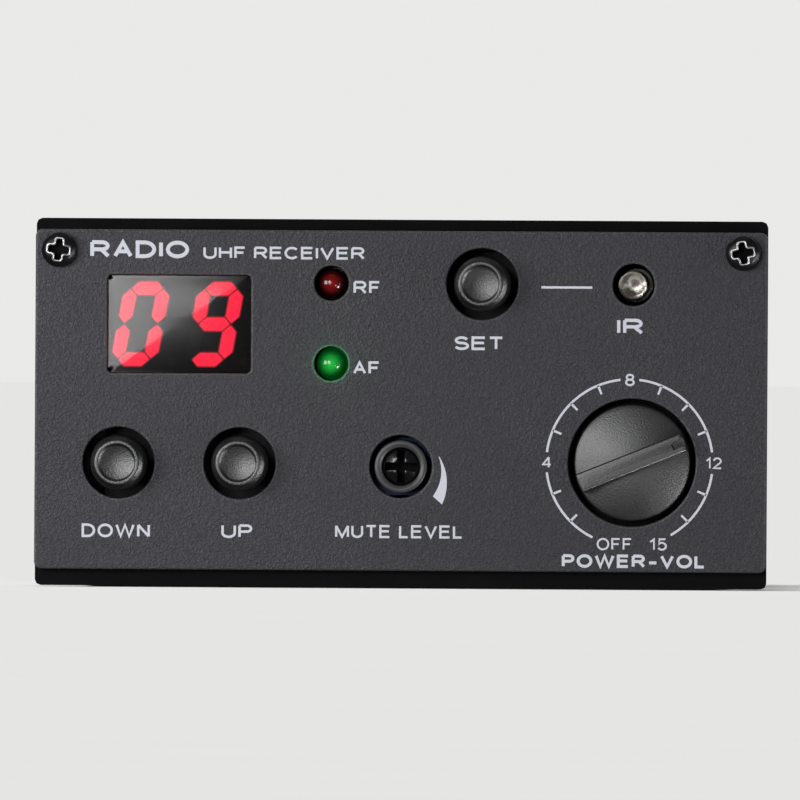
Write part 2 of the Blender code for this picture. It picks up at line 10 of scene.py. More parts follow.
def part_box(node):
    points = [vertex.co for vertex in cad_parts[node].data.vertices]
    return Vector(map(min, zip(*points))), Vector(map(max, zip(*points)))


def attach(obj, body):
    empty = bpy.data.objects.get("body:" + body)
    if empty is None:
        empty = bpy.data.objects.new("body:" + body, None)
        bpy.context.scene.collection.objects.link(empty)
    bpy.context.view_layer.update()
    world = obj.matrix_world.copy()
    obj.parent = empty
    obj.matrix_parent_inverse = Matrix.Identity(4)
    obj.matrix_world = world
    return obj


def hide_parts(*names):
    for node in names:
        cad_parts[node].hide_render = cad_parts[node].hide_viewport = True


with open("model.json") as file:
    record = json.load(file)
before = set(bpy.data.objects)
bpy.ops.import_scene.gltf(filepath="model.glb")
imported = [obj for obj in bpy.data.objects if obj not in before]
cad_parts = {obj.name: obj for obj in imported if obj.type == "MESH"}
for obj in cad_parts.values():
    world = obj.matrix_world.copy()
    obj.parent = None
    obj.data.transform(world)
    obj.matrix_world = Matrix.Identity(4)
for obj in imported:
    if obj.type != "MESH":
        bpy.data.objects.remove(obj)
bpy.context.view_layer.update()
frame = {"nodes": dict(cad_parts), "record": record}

MM = 0.001
NODES = frame["nodes"]
PLATE_LOW, PLATE_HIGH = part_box("front_plate")
MIDDLE = Vector((0.0, PLATE_LOW.y, (PLATE_LOW.z + PLATE_HIGH.z) / 2))
BODY_OF = {name: body for body, names in frame["record"]["behaviour"]["bodies"].items() for name in names}
SLOT_OF = {entry["node"]: entry["material_slot"] for entry in frame["record"]["subparts"]}
POINTER = math.radians(22.0)  # how far the knob's pointer stands above the horizontal at rest
BEHIND_PLATE = 14.7  # how far behind the plate's face the control board is
LAMP_RADIUS = 2.5
PITCH = 2.54  # between the pins of the display, the lamps and the header


def spot(node):
    """The centre of a CAD node as (x, z) in millimetres from the middle of the front plate."""
    low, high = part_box(node)
    middle = (low + high) / 2 - MIDDLE
    return middle.x / MM, middle.z / MM


# Finishes


def nodes_for(name):
    """A new material with its node tree, its shader, and the object's own coordinates."""
    made = bpy.data.materials.new(name)
    made.use_nodes = True
    tree = made.node_tree
    shader = tree.nodes["Principled BSDF"]
    where = tree.nodes.new("ShaderNodeTexCoord")
    return made, tree, shader, where.outputs["Object"]


def noise(tree, where, size, detail=4.0, kind="FBM", distortion=0.0):
    """A noise whose features are about size millimetres apart."""
    made = tree.nodes.new("ShaderNodeTexNoise")
    made.noise_type = kind
    made.inputs["Scale"].default_value = 1 / (size * MM)
    made.inputs["Detail"].default_value = detail
    made.inputs["Distortion"].default_value = distortion
    tree.links.new(where, made.inputs["Vector"])
    return made.outputs["Fac"]


def spread(tree, value, low, high, start=0.3, end=0.7):
    """Maps a value from start..end, where most of a noise lies, to low..high."""
    made = tree.nodes.new("ShaderNodeMapRange")
    for key, number in (("From Min", start), ("From Max", end), ("To Min", low), ("To Max", high)):
        made.inputs[key].default_value = number
    tree.links.new(value, made.inputs["Value"])
    return made.outputs["Result"]


def mix(tree, factor, first, second):
    """A blend of two colours."""
    made = tree.nodes.new("ShaderNodeMix")
    made.data_type = "RGBA"
    tree.links.new(factor, made.inputs["Factor"])
    colour_a, colour_b, colour_out = made.inputs[6], made.inputs[7], made.outputs[2]
    colour_a.default_value, colour_b.default_value = (*first, 1.0), (*second, 1.0)
    return colour_out


def add_share(tree, base, value, share):
    """The base with a share of another value added."""
    made = tree.nodes.new("ShaderNodeMath")
    made.operation = "MULTIPLY_ADD"
    made.inputs[1].default_value = share
    tree.links.new(value, made.inputs[0])
    tree.links.new(base, made.inputs[2])
    return made.outputs[0]


def bump(tree, shader, height, depth):
    """Relief whose full height is depth millimetres."""
    made = tree.nodes.new("ShaderNodeBump")
    made.inputs["Strength"].default_value = 1.0
    made.inputs["Distance"].default_value = depth * MM
    tree.links.new(height, made.inputs["Height"])
    tree.links.new(made.outputs["Normal"], shader.inputs["Normal"])


def set_sockets(shader, sockets):
    """Sets the shader's own sockets by their names, with _ for a space."""
    for key, value in sockets.items():
        shader.inputs[key.replace("_", " ")].default_value = value


def finish(name, colour, roughness, metallic=0.0, size=0.6, tone=0.12, uneven=0.06, depth=0.004, **sockets):
    """A finish whose colour, roughness and relief vary over the surface. size and depth are in millimetres."""
    made, tree, shader, where = nodes_for(name)
    fine, broad = noise(tree, where, size), noise(tree, where, size * 18)
    dark = tuple(c * (1 - tone) for c in colour)
    light = tuple(min(1.0, c * (1 + tone)) for c in colour)
    tree.links.new(mix(tree, fine, dark, light), shader.inputs["Base Color"])
    tree.links.new(spread(tree, broad, roughness - uneven, roughness + uneven), shader.inputs["Roughness"])
    set_sockets(shader, dict(Metallic=metallic, **sockets))
    bump(tree, shader, fine, depth)
    return made


def crinkle_coat(name, low, high, roughness):
    """Grey crinkle paint: short worm-like ridges, with a painted highlight along the ridges and painted shade in
    the hollows between them.
    """
    made, tree, shader, where = nodes_for(name)
    ridges = noise(tree, where, size=0.62, detail=1.5, kind="RIDGED_MULTIFRACTAL", distortion=0.9)
    grain = noise(tree, where, size=0.42, detail=2.0, distortion=0.4)
    broad, uneven = noise(tree, where, size=22.0), 0.05
    height = add_share(tree, ridges, grain, 1.3)
    # The colour follows the relief: painted shade (low) in the hollows and a painted highlight (high) on the
    # ridges.
    painted_ridge_light_and_shade = spread(tree, height, 0.0, 1.0, start=0.6, end=1.9)
    tree.links.new(mix(tree, painted_ridge_light_and_shade, low, high), shader.inputs["Base Color"])
    tree.links.new(spread(tree, broad, roughness - uneven, roughness + uneven), shader.inputs["Roughness"])
    shader.inputs["Specular IOR Level"].default_value = 0.4
    bump(tree, shader, height, depth=0.15)
    return made


def see_through(name, size, dark, light, patch, smooth, rough, **sockets):
    """A clear plastic whose tint varies over size and whose roughness varies over patch millimetres."""
    made, tree, shader, where = nodes_for(name)
    haze = noise(tree, where, size)
    tree.links.new(mix(tree, haze, dark, light), shader.inputs["Base Color"])
    tree.links.new(spread(tree, noise(tree, where, patch), smooth, rough), shader.inputs["Roughness"])
    set_sockets(shader, dict(Transmission_Weight=1.0, **sockets))
    bump(tree, shader, haze, 0.001)
    return made


def glow(name, colour, strength, edge):
    """A lit plastic or phosphor: it glows a little unevenly, and its surface has a faint grain."""
    made, tree, shader, where = nodes_for(name)
    grain = noise(tree, where, 0.8)
    tint = mix(tree, grain, edge, colour)
    for socket in ("Emission Color", "Base Color"):
        tree.links.new(tint, shader.inputs[socket])
    shader.inputs["Emission Strength"].default_value = strength
    shader.inputs["Roughness"].default_value = 0.35
    bump(tree, shader, grain, 0.003)
    return made


def lit_lens(name, at, core, rim, strength):
    """A lamp's lens lit from inside: bright in the middle, and dark towards its rim."""
    made, tree, shader, where = nodes_for(name)
    away = tree.nodes.new("ShaderNodeVectorMath")
    away.operation = "MULTIPLY_ADD"
    centre = MIDDLE + Vector((at[0], 0.0, at[1])) * MM
    scale = 1 / (LAMP_RADIUS * MM)
    away.inputs[1].default_value = (scale, 0.0, scale)
    away.inputs[2].default_value = (-centre.x * scale, 0.0, -centre.z * scale)
    tree.links.new(where, away.inputs[0])
    length = tree.nodes.new("ShaderNodeVectorMath")
    length.operation = "LENGTH"
    tree.links.new(away.outputs[0], length.inputs[0])
    haze = noise(tree, where, 0.9)
    ramp = tree.nodes.new("ShaderNodeValToRGB")
    ramp.color_ramp.interpolation = "EASE"
    for element, position, colour in zip(ramp.color_ramp.elements, (0.1, 1.05), (core, rim)):
        element.position, element.color = position, (*colour, 1.0)
    tree.links.new(add_share(tree, length.outputs["Value"], haze, 0.15), ramp.inputs["Fac"])
    for socket in ("Emission Color", "Base Color"):
        tree.links.new(ramp.outputs["Color"], shader.inputs[socket])
    shader.inputs["Emission Strength"].default_value = strength
    shader.inputs["Roughness"].default_value = 0.12
    bump(tree, shader, haze, 0.002)
    return made


# Both coats paint the crinkle's ridges lighter and its hollows darker: painted highlight and painted shade.
COAT = crinkle_coat("crinkle_coat", (0.0345, 0.033, 0.0395), (0.0735, 0.0705, 0.0845), 0.53)
# The rounded rims get a lighter coat: partly paint that runs thin there, partly a painted highlight of the rims.
RIM_COAT_AND_HIGHLIGHT = crinkle_coat("thin_rim_coat_and_painted_highlight", (0.06, 0.059, 0.066), (0.12, 0.118, 0.128), 0.42)
INK = finish("white_ink", (0.56, 0.57, 0.63), 0.6, size=0.25, tone=0.16, depth=0.01)
LOOKS = {
    "plate_coat": COAT,
    # Near-black with almost no sheen; where it lines the cross recesses of the screws and the mute rotor it is
    # painted shade.
    "black_steel": finish("black_paint_and_recess_shade", (0.0024, 0.0024, 0.003), 0.6, size=0.5, tone=0.3, depth=0.008,
                          Specular_IOR_Level=0.05),
    "zinc_steel": finish("zinc_plate", (0.6, 0.6, 0.59), 0.42, 1.0, size=3.0, tone=0.3, uneven=0.08, depth=0.004),
    "screw_black": finish("black_oxide", (0.006, 0.006, 0.007), 0.3, size=0.4, tone=0.3, uneven=0.06, depth=0.006,
                          Specular_IOR_Level=0.3),
    "nickel": finish("bright_nickel", (0.66, 0.65, 0.62), 0.24, 1.0, size=0.5, depth=0.003),
    "gold": finish("gold_plate", (0.83, 0.62, 0.27), 0.26, 1.0, size=0.4, depth=0.003),
    "black_plastic": finish("black_moulding", (0.006, 0.006, 0.0065), 0.36, size=0.35, tone=0.25, depth=0.006),
    "gloss_black": finish("gloss_moulding", (0.006, 0.006, 0.007), 0.14, size=0.5, tone=0.2, uneven=0.04,
                          depth=0.002),
    "ivory_plastic": finish("ivory_moulding", (0.7, 0.66, 0.55), 0.45, size=0.5, tone=0.05),
    "grey_collar": finish("grey_moulding", (0.043, 0.043, 0.045), 0.4, size=0.3, tone=0.2, depth=0.008),
    "pot_blue": finish("blue_moulding", (0.03, 0.09, 0.3), 0.4, size=0.5),
    "capacitor_sleeve": finish("sleeve_film", (0.02, 0.03, 0.09), 0.3, size=1.5, tone=0.15),
    "board_black": finish("black_resist", (0.008, 0.008, 0.009), 0.5, size=0.8, tone=0.25, depth=0.01),
    "board_green": finish("solder_resist", (0.02, 0.13, 0.055), 0.32, size=1.1, tone=0.25, depth=0.012),
    "ribbon_grey": finish("grey_vinyl", (0.35, 0.35, 0.36), 0.5, size=0.6),
    "white_nylon": finish("white_nylon", (0.78, 0.76, 0.68), 0.45, size=0.6, tone=0.05),
    "cable_black": finish("black_vinyl", (0.02, 0.02, 0.02), 0.5, size=0.5, tone=0.2, depth=0.008),
}
WORN = finish("worn_steel", (0.6, 0.6, 0.62), 0.34, 0.85, size=0.5, tone=0.8, depth=0.02)


# Shapes. Points are in millimetres: x and z from the middle of the front plate, and y from its face back


def placed(name, data):
    """A new object in the scene."""
    obj = bpy.data.objects.new(name, data)
    bpy.context.scene.collection.objects.link(obj)
    return obj


def piece(name, mesh, look, body, stands_for=(), smooth=32.0):
    """A visible piece that rides on a body. Edges sharper than smooth degrees stay sharp."""
    obj = placed(name, mesh)
    mesh.name = name
    for one in look if isinstance(look, list) else [look]:
        mesh.materials.append(one)
    mesh.shade_smooth()
    mesh.set_sharp_from_angle(angle=math.radians(smooth))
    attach(obj, body)
    if stands_for:
        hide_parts(*stands_for)
    return obj


def to_mesh(bm):
    """A new mesh made from a bmesh, which is freed."""
    mesh = bpy.data.meshes.new("mesh")
    bm.to_mesh(mesh)
    bm.free()
    return mesh


def as_mesh(bm):
    """Moves a finished bmesh from millimetres round the plate to its place in metres."""
    bmesh.ops.remove_doubles(bm, verts=bm.verts, dist=1e-4)
    bmesh.ops.recalc_face_normals(bm, faces=bm.faces)
    for vert in bm.verts:
        vert.co = MIDDLE + vert.co * MM
    return to_mesh(bm)


def weighted(obj):
    """Shades a piece's flat faces flat up to their rounded edges."""
    modifier = obj.modifiers.new("normals", "WEIGHTED_NORMAL")
    modifier.keep_sharp = True


def fillet(points, steps=4):
    """An open line with its corners rounded: each point is (u, v) or (u, v, radius)."""
    made = [tuple(points[0][:2])]
    for before, corner, after in zip(points, points[1:], points[2:]):
        radius = corner[2] if len(corner) > 2 else 0.0
        here = Vector(corner[:2])
        into, out = Vector(before[:2]) - here, Vector(after[:2]) - here
        if radius <= 0 or into.length < 1e-6 or out.length < 1e-6:
            made.append(tuple(here))
            continue
        half = into.angle(out) / 2
        run = min(radius / math.tan(half), into.length * 0.49, out.length * 0.49)
        start, end = here + into.normalized() * run, here + out.normalized() * run
        for i in range(steps + 1):
            t = i / steps
            made.append(tuple((1 - t) ** 2 * start + 2 * t * (1 - t) * here + t * t * end))
    made.append(tuple(points[-1][:2]))
    return made


def soft_corners(corners):
    """A closed outline with its corners rounded: each corner is (u, v, radius)."""
    outline = []
    for i, corner in enumerate(corners):
        outline += fillet([corners[i - 1], corner, corners[(i + 1) % len(corners)]], 3)[1:-1]
    return outline


def turned(points, angle, at, scale=1.0):
    """Points turned and scaled about their origin, which is moved to a place."""
    c, s = math.cos(angle) * scale, math.sin(angle) * scale
    return [(at[0] + u * c - v * s, at[1] + u * s + v * c) for u, v in points]


def circle(radius, sides, at):
    angles = [2 * math.pi * i / sides for i in range(sides)]
    return [(at[0] + radius * math.cos(a), at[1] + radius * math.sin(a)) for a in angles]


def rounded(width, height, corner, at=(0.0, 0.0), steps=6):
    """The outline of a rectangle with round corners."""
    made = []
    for sx, sz, first in ((1, 1, 0), (-1, 1, 90), (-1, -1, 180), (1, -1, 270)):
        cx, cz = sx * (width / 2 - corner), sz * (height / 2 - corner)
        for i in range(steps + 1):
            a = math.radians(first + 90 * i / steps)
            made.append((at[0] + cx + corner * math.cos(a), at[1] + cz + corner * math.sin(a)))
    return made


def ring(bm, outline, y):
    """A loop of corners, all at one depth or each at the depth that y says for its place."""
    return [bm.verts.new((u, y(u, v) if callable(y) else y, v)) for u, v in outline]


def skin(bm, rings, closed=False):
    """Joins each ring to the next, and the last to the first where closed."""
    pairs = list(zip(rings, rings[1:])) + ([(rings[-1], rings[0])] if closed else [])
    for first, second in pairs:
        for i in range(len(first)):
            j = (i + 1) % len(first)
            bm.faces.new((first[i], first[j], second[j], second[i]))


def solid(bm, rings):
    """Joins rings into a body with a face at each end."""
    skin(bm, rings)
    bm.faces.new(rings[0])
    bm.faces.new(rings[-1])


def lathe(bm, profile, at, sides=64, closed=False):
    """Turns a line of (radius, depth[, fillet]) round an axis that runs from front to back."""
    least = 0.004
    rings = [ring(bm, circle(max(r, least), sides, at), y) for r, y in fillet(profile)]
    if closed:
        skin(bm, rings, closed)
    else:
        solid(bm, rings)


def block(bm, x, y, z, soft=0.0):
    """A box between two corners, with its edges rounded to soft."""
    corners = [bm.verts.new((a, b, c)) for a in x for b in y for c in z]
    faces = [(0, 1, 3, 2), (4, 6, 7, 5), (0, 4, 5, 1), (2, 3, 7, 6), (0, 2, 6, 4), (1, 5, 7, 3)]
    made = [bm.faces.new([corners[i] for i in face]) for face in faces]
    if soft:
        edges = list(dict.fromkeys(edge for face in made for edge in face.edges))
        bmesh.ops.bevel(bm, geom=edges, offset=soft, segments=3, profile=0.5, affect="EDGES")


def extrude(bm, outline, near, far):
    """A closed outline drawn out between two depths."""
    solid(bm, [ring(bm, outline, y) for y in (near, far)])


def turned_piece(name, profile, look, body, stands_for, at, sides=64, closed=False, smooth=32.0):
    bm = bmesh.new()
    lathe(bm, profile, at, sides, closed)
    return piece(name, as_mesh(bm), look, body, stands_for, smooth)


def carve(obj, bm_cutter, width):
    """Cuts the cutter out of a piece and bevels the sharp edges by width."""
    sharp = math.radians(32.0)
    cutter = placed("cutter", as_mesh(bm_cutter))
    boolean = obj.modifiers.new("cut", "BOOLEAN")
    boolean.operation, boolean.solver, boolean.object = "DIFFERENCE", "EXACT", cutter
    bevel = obj.modifiers.new("edge", "BEVEL")
    bevel.width, bevel.segments, bevel.limit_method, bevel.angle_limit = width * MM, 2, "ANGLE", sharp
    graph = bpy.context.evaluated_depsgraph_get()
    made = bpy.data.meshes.new_from_object(obj.evaluated_get(graph))
    obj.modifiers.clear()
    old = obj.data
    obj.data = made
    bpy.data.meshes.remove(old)
    bpy.data.objects.remove(cutter)
    made.shade_smooth()
    made.set_sharp_from_angle(angle=sharp)


def refine(node, width, steps):
    """A finer copy of a plain CAD node: its flat faces made whole again and its edges rounded."""
    bm = bmesh.new()
    bm.from_mesh(NODES[node].data)
    bmesh.ops.remove_doubles(bm, verts=bm.verts, dist=2e-6)
    bmesh.ops.dissolve_limit(bm, angle_limit=math.radians(1.0), verts=bm.verts, edges=bm.edges)
    slot = SLOT_OF[node]
    obj = piece(node + "_fine", to_mesh(bm), LOOKS[slot], BODY_OF[node], (node,), 38.0)
    bevel = obj.modifiers.new("edge", "BEVEL")
    bevel.width, bevel.segments, bevel.limit_method = width * MM, steps, "ANGLE"
    bevel.angle_limit = math.radians(40.0)
    weighted(obj)


# The front plate


WINDOW_HOLE = (24.6, 16.7)
# The round holes: what shows through each, its radius, and the sides of its outline
HOLES = [("panel_screw_left", 1.7, 48), ("panel_screw_right", 1.7, 48), ("rf_led", 2.95, 64),
         ("af_led", 2.95, 64), ("ir_led", 3.6, 64), ("set_button_cap", 6.1, 96), ("down_button_cap", 6.1, 96),
         ("up_button_cap", 6.1, 96), ("mute_rotor", 5.35, 96), ("volume_shaft", 10.9, 128)]


def front_plate():
    """The coated plate: a full edge radius, holes with softly rounded rims, and the posts behind."""
    thick, edge, rim = 2.0, 0.45, 0.36
    width, height = (PLATE_HIGH.x - PLATE_LOW.x) / MM, (PLATE_HIGH.z - PLATE_LOW.z) / MM
    bm = bmesh.new()
    fronts, backs = [], []

    def wall(outline_at, profile):
        """The side of the plate or of a hole. It keeps the edges that the two faces are filled between."""
        rings = [ring(bm, outline_at(grow), y) for grow, y in profile]
        skin(bm, rings)
        for found, loop in ((fronts, rings[0]), (backs, rings[-1])):
            found += [bm.edges.get(pair) for pair in zip(loop[-1:] + loop[:-1], loop)]

    turns = [math.pi / 2 * i / 8 for i in range(9)]
    outside = [(-edge * (1 - math.sin(a)), edge * (1 - math.cos(a))) for a in turns]
    outside += [(0.0, thick - 0.15), (-0.15, thick)]
    wall(lambda g: rounded(width + 2 * g, height + 2 * g, 1.2 + g, steps=8), outside)
    inside = [(rim * (1 - math.sin(a)), rim * (1 - math.cos(a))) for a in turns[::2]]
    inside += [(0.0, thick)]
    for node, radius, sides in HOLES:
        at = spot(node)
        wall(lambda g: circle(radius + g, sides, at), inside)
    at = spot("display_window")
    wall(lambda g: rounded(WINDOW_HOLE[0] + 2 * g, WINDOW_HOLE[1] + 2 * g, 0.8 + g, at), inside)
    for edges, way in ((fronts, -1), (backs, 1)):
        bmesh.ops.triangle_fill(bm, use_beauty=True, edges=edges, normal=(0.0, way, 0.0))
    for i in range(4):
        bore, post, foot = 1.7, 3.0, thick - 0.5
        profile = [(bore, foot), (post, foot), (post, BEHIND_PLATE, 0.2), (bore, BEHIND_PLATE, 0.2), (bore, foot)]
        lathe(bm, profile, spot(f"control_board_screw_{i + 1}"), 32)
    obj = piece("front_plate_coated", as_mesh(bm), [COAT, RIM_COAT_AND_HIGHLIGHT], "chassis",
                ("front_plate",), 40.0)
    # The tilted faces of the hole rims and of the plate's front edge take the lighter coat, which is partly a
    # painted highlight.
    for face in obj.data.polygons:
        depth = (face.center - MIDDLE).y / MM
        face.material_index = int(0.0 < depth < edge and 0.2 < abs(face.normal.y) < 0.985)
    weighted(obj)


# Printing


def print_piece(name, mesh):
    piece(name, mesh, INK, "chassis")


def bow(cx, cz, rx, rz, start, end, steps):
    """Part of an ellipse, between two angles in degrees."""
    angles = [math.radians(start + (end - start) * i / steps) for i in range(steps + 1)]
    return [(cx + rx * math.cos(a), cz + rz * math.sin(a)) for a in angles]


# Each letter is the width of its box as a share of the cap height, and the middle lines of its strokes
LETTERS = {
    "A": (0.80, [[(0, 0), (0.5, 1), (1, 0)], [(0.17, 0.34), (0.83, 0.34)]]),
    "C": (0.86, [bow(0.53, 0.5, 0.53, 0.5, 42, 318, 28)]),
    "D": (0.84, [[(0, 0), (0, 1)] + bow(0.42, 0.5, 0.58, 0.5, 90, -90, 20) + [(0, 0)]]),
    "E": (0.76, [[(1, 1), (0, 1), (0, 0), (1, 0)], [(0, 0.53), (0.93, 0.53)]]),
    "F": (0.70, [[(1, 1), (0, 1), (0, 0)], [(0, 0.51), (0.86, 0.51)]]),
    "H": (0.80, [[(0, 0), (0, 1)], [(1, 0), (1, 1)], [(0, 0.53), (1, 0.53)]]),
    "I": (0.15, [[(0.5, 0), (0.5, 1)]]),
    "L": (0.66, [[(0, 1), (0, 0), (1, 0)]]),
    "M": (0.94, [[(0, 0), (0, 1)], [(0, 1), (0.5, 0), (1, 1)], [(1, 1), (1, 0)]]),
    "N": (0.80, [[(0, 0), (0, 1)], [(0, 1), (1, 0)], [(1, 0), (1, 1)]]),
    "O": (0.95, [bow(0.5, 0.5, 0.5, 0.5, 0, 360, 36)]),
    "P": (0.76, [[(0, 0), (0, 1)], [(0, 1)] + bow(0.62, 0.735, 0.38, 0.265, 90, -90, 14) + [(0, 0.47)]]),
    "R": (0.82, [[(0, 0), (0, 1)], [(0, 1)] + bow(0.60, 0.74, 0.36, 0.26, 90, -90, 14) + [(0, 0.48)],
                 [(0.56, 0.48), (1, 0)]]),
    "S": (0.76, [bow(0.49, 0.755, 0.46, 0.245, 18, 262, 18) + bow(0.5, 0.26, 0.5, 0.26, 82, -165, 18)]),
    "T": (0.78, [[(0, 1), (1, 1)], [(0.5, 1), (0.5, 0)]]),
    "U": (0.80, [[(0, 1)] + bow(0.5, 0.34, 0.5, 0.34, 180, 360, 18) + [(1, 1)]]),
    "V": (0.84, [[(0, 1), (0.5, 0), (1, 1)]]),
    "W": (1.2, [[(0, 1), (0.25, 0), (0.5, 1), (0.75, 0), (1, 1)]]),
    "1": (0.36, [[(0, 0.74), (0.55, 0.86), (1, 1), (1, 0)]]),
    "2": (0.66, [bow(0.49, 0.70, 0.46, 0.30, 170, -28, 16) + [(0, 0), (1, 0)]]),
    "4": (0.70, [[(0.74, 0), (0.74, 1)], [(0.74, 1), (0, 0.28), (1, 0.28)]]),
    "5": (0.66, [[(0.92, 1), (0.2, 1), (0.09, 0.50)] + bow(0.48, 0.33, 0.5, 0.33, 128, -152, 16)]),
    "8": (0.66, [bow(0.5, 0.765, 0.42, 0.235, 0, 360, 24), bow(0.5, 0.265, 0.5, 0.265, 0, 360, 24)]),
    "-": (0.62, [[(0, 0.36), (1, 0.36)]]),
    " ": (0.30, []),
}


def stroke(bm, line, width, layer):
    """A line of ink of one width, with mitred corners."""
    line = [Vector(p) for p in line]
    line = [p for i, p in enumerate(line) if i == 0 or (p - line[i - 1]).length > 1e-4]
    loop = (line[0] - line[-1]).length < 1e-3
    left, right = [], []
    for i, point in enumerate(line):
        before = line[i - 1] if i > 0 else (line[-2] if loop else None)
        after = line[i + 1] if i + 1 < len(line) else (line[1] if loop else None)
        ends = [p for p in (before, point, after) if p is not None]
        ways = [(b - a).normalized() for a, b in zip(ends, ends[1:])]
        way = sum(ways, Vector((0.0, 0.0))).normalized()
        stretch = min(1 / max(way.dot(ways[0]), 0.3), 1.9)
        side = Vector((-way.y, way.x)) * width / 2 * stretch
        left.append(tuple(point + side))
        right.append(tuple(point - side))
    band(bm, left, right, layer)


def label(name, text, at, cap, width, weight):
    """A line of capitals drawn in strokes, cap high and width wide. A stroke is weight times cap wide."""
    thick, gap = weight * cap, 0.17 * cap
    fixed = [letter in "I " for letter in text]
    widths = [thick if letter == "I" else LETTERS[letter][0] * cap for letter in text]
    rigid = sum(w for w, f in zip(widths, fixed) if f) + gap * (len(text) - 1)
    grow = (width - rigid) / sum(w for w, f in zip(widths, fixed) if not f)
    widths = [w if f else w * grow for w, f in zip(widths, fixed)]
    bm = bmesh.new()
    left = at[0] - width / 2
    for letter, wide in zip(text, widths):
        for layer, line in enumerate(LETTERS[letter][1]):
            start_x, start_z = left + thick / 2, at[1] - cap / 2 + thick / 2
            points = [(start_x + x * (wide - thick), start_z + z * (cap - thick)) for x, z in line]
            stroke(bm, points, thick, layer)
        left += wide + gap
    print_piece(name, as_mesh(bm))


def band(bm, inner, outer, layer=0):
    """A thin strip of ink between two lines of (x, z). Strokes that cross lie on layers of their own."""
    top, sunk = -0.035 - 0.004 * layer, 0.03
    rings = [ring(bm, inner + outer[::-1], y) for y in (top, sunk)]
    count = len(inner)
    skin(bm, rings)
    for loop in rings:
        for i in range(count - 1):
            bm.faces.new((loop[i], loop[i + 1], loop[2 * count - 2 - i], loop[2 * count - 1 - i]))


def arc(centre, radius, start, end, steps=48):
    return bow(*centre, radius, radius, start, end, steps)


# Each label's piece, its text, the middle of its place, the height of its capitals, its width and its weight
LABELS = (
    ("print_heading", "RADIO", (-44.7, 25.6), 3.0, 16.9, 0.22),
    ("print_receiver", "UHF RECEIVER", (-20.0, 25.1), 2.15, 27.6, 0.19),
    ("print_rf", "RF", (-5.8, 19.3), 2.25, 4.6, 0.19),
    ("print_af", "AF", (-5.8, 5.6), 2.25, 4.6, 0.19),
    ("print_set", "SET", (13.4, 9.9), 2.35, 8.4, 0.19),
    ("print_ir", "IR", (39.2, 12.9), 2.7, 4.5, 0.21),
    ("print_down", "DOWN", (-48.5, -22.4), 2.35, 11.7, 0.18),
    ("print_up", "UP", (-27.8, -22.4), 2.35, 5.3, 0.18),
    ("print_mute", "MUTE LEVEL", (-0.1, -22.3), 2.25, 21.8, 0.17),
    ("print_power", "POWER-VOL", (40.0, -27.1), 2.3, 24.5, 0.22),
    ("print_off", "OFF", (36.7, -24.2), 2.1, 6.0, 0.15),
    ("print_15", "15", (44.2, -24.2), 2.1, 3.0, 0.15),
    ("print_4", "4", (25.1, -10.3), 2.05, 1.65, 0.15),
    ("print_8", "8", (39.2, 3.8), 2.1, 1.65, 0.16),
    ("print_12", "12", (53.6, -10.3), 2.0, 2.8, 0.15),
)


def printing():
    """The labels, the knob's dial, the wedge by the mute control and the line from SET to the IR lamp."""
    for entry in LABELS:
        label(*entry)
    bm = bmesh.new()
    centre, radius, line, tick = (39.2, -10.3), 14.2, 0.4, 1.6
    for start, end in ((244.0, 187.0), (173.0, 96.5), (83.5, 7.5), (-7.5, -60.0)):
        band(bm, arc(centre, radius - line / 2, start, end), arc(centre, radius + line / 2, start, end))
    for angle in (225.0, 202.5, 157.5, 135.0, 112.5, 67.5, 45.0, 22.5, -22.5, -45.0):
        half = math.degrees(line / 2 / radius)
        band(bm, *(arc(centre, r, angle - half, angle + half, 2) for r in (radius - tick, radius)))
    print_piece("print_dial", as_mesh(bm))
    bm = bmesh.new()
    x, z = spot("mute_rotor")
    steps = 40
    inner, outer = [], []
    for i in range(steps + 1):
        t = i / steps
        angle = math.radians(15.0 - 57.0 * t)
        for side, r in ((inner, 6.75 + 0.75 * t), (outer, 6.85 + 2.75 * t ** 1.1)):
            side.append((x + r * math.cos(angle), z + r * math.sin(angle)))
    band(bm, inner, outer)
    print_piece("print_wedge", as_mesh(bm))
    bm = bmesh.new()
    start_x, end_x, middle_z = 24.0, 32.7, 19.5
    band(bm, *([(start_x, z), (end_x, z)] for z in (middle_z - line / 2, middle_z + line / 2)))
    print_piece("print_link", as_mesh(bm))


# Display


DIGIT_LEAN = math.tan(math.radians(10.6))
SEGMENTS = {"a": ((-1, 1), (1, 1)), "b": ((1, 1), (1, 0)), "c": ((1, 0), (1, -1)), "d": ((-1, -1), (1, -1)),
            "e": ((-1, 0), (-1, -1)), "f": ((-1, 1), (-1, 0)), "g": ((-1, 0), (1, 0))}
DIGITS = {"0": "abcdef", "9": "abcdfg"}


def segment(bm, start, end, width, gap, at, depth):
    """One bar of a digit, with pointed ends whose tips are rounded off."""
    start, end = Vector(start), Vector(end)
    along = (end - start).normalized()
    across = Vector((-along.y, along.x)) * width / 2
    start, end = start + along * gap, end - along * gap
    nose = along * (width * 0.5)
    tip, shoulder, thick = 0.25, 0.35, 0.3
    corners = [(*start, tip), (*(start + nose + across), shoulder), (*(end - nose + across), shoulder),
               (*end, tip), (*(end - nose - across), shoulder), (*(start + nose - across), shoulder)]
    outline = [(at[0] + u + DIGIT_LEAN * v, at[1] + v) for u, v in soft_corners(corners)]
    extrude(bm, outline, depth, depth + thick)


